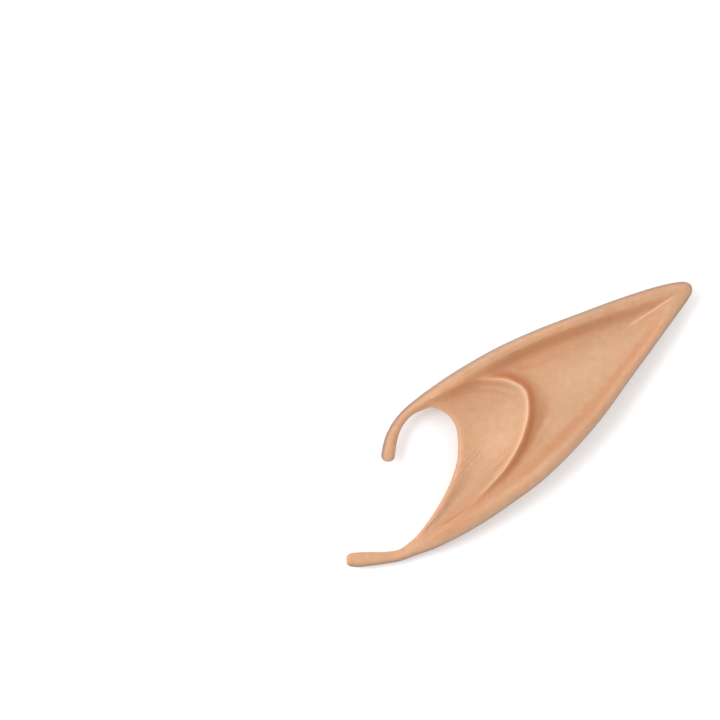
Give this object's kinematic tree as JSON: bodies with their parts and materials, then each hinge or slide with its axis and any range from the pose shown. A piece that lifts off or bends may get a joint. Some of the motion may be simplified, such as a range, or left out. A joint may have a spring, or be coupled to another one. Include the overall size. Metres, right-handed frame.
{
  "type": "pointed costume ear tip",
  "caption": "Long pointed ear tip of soft skin-coloured latex, a hollow moulding that slips over the top of the wearer's own ear and grips it with curved hooks.",
  "frame": {"origin": "under the middle of the ear, on the surface that it lies on", "axes": "+X towards the point, +Y towards the upper rim and its hook, +Z out of the modelled face"},
  "size_m": [0.125, 0.0402, 0.0141],
  "materials": {
    "latex": "soft satin, skin-coloured through and through"
  },
  "bodies": {
    "root": {"ear_tip": "latex"}
  },
  "joints": []
}
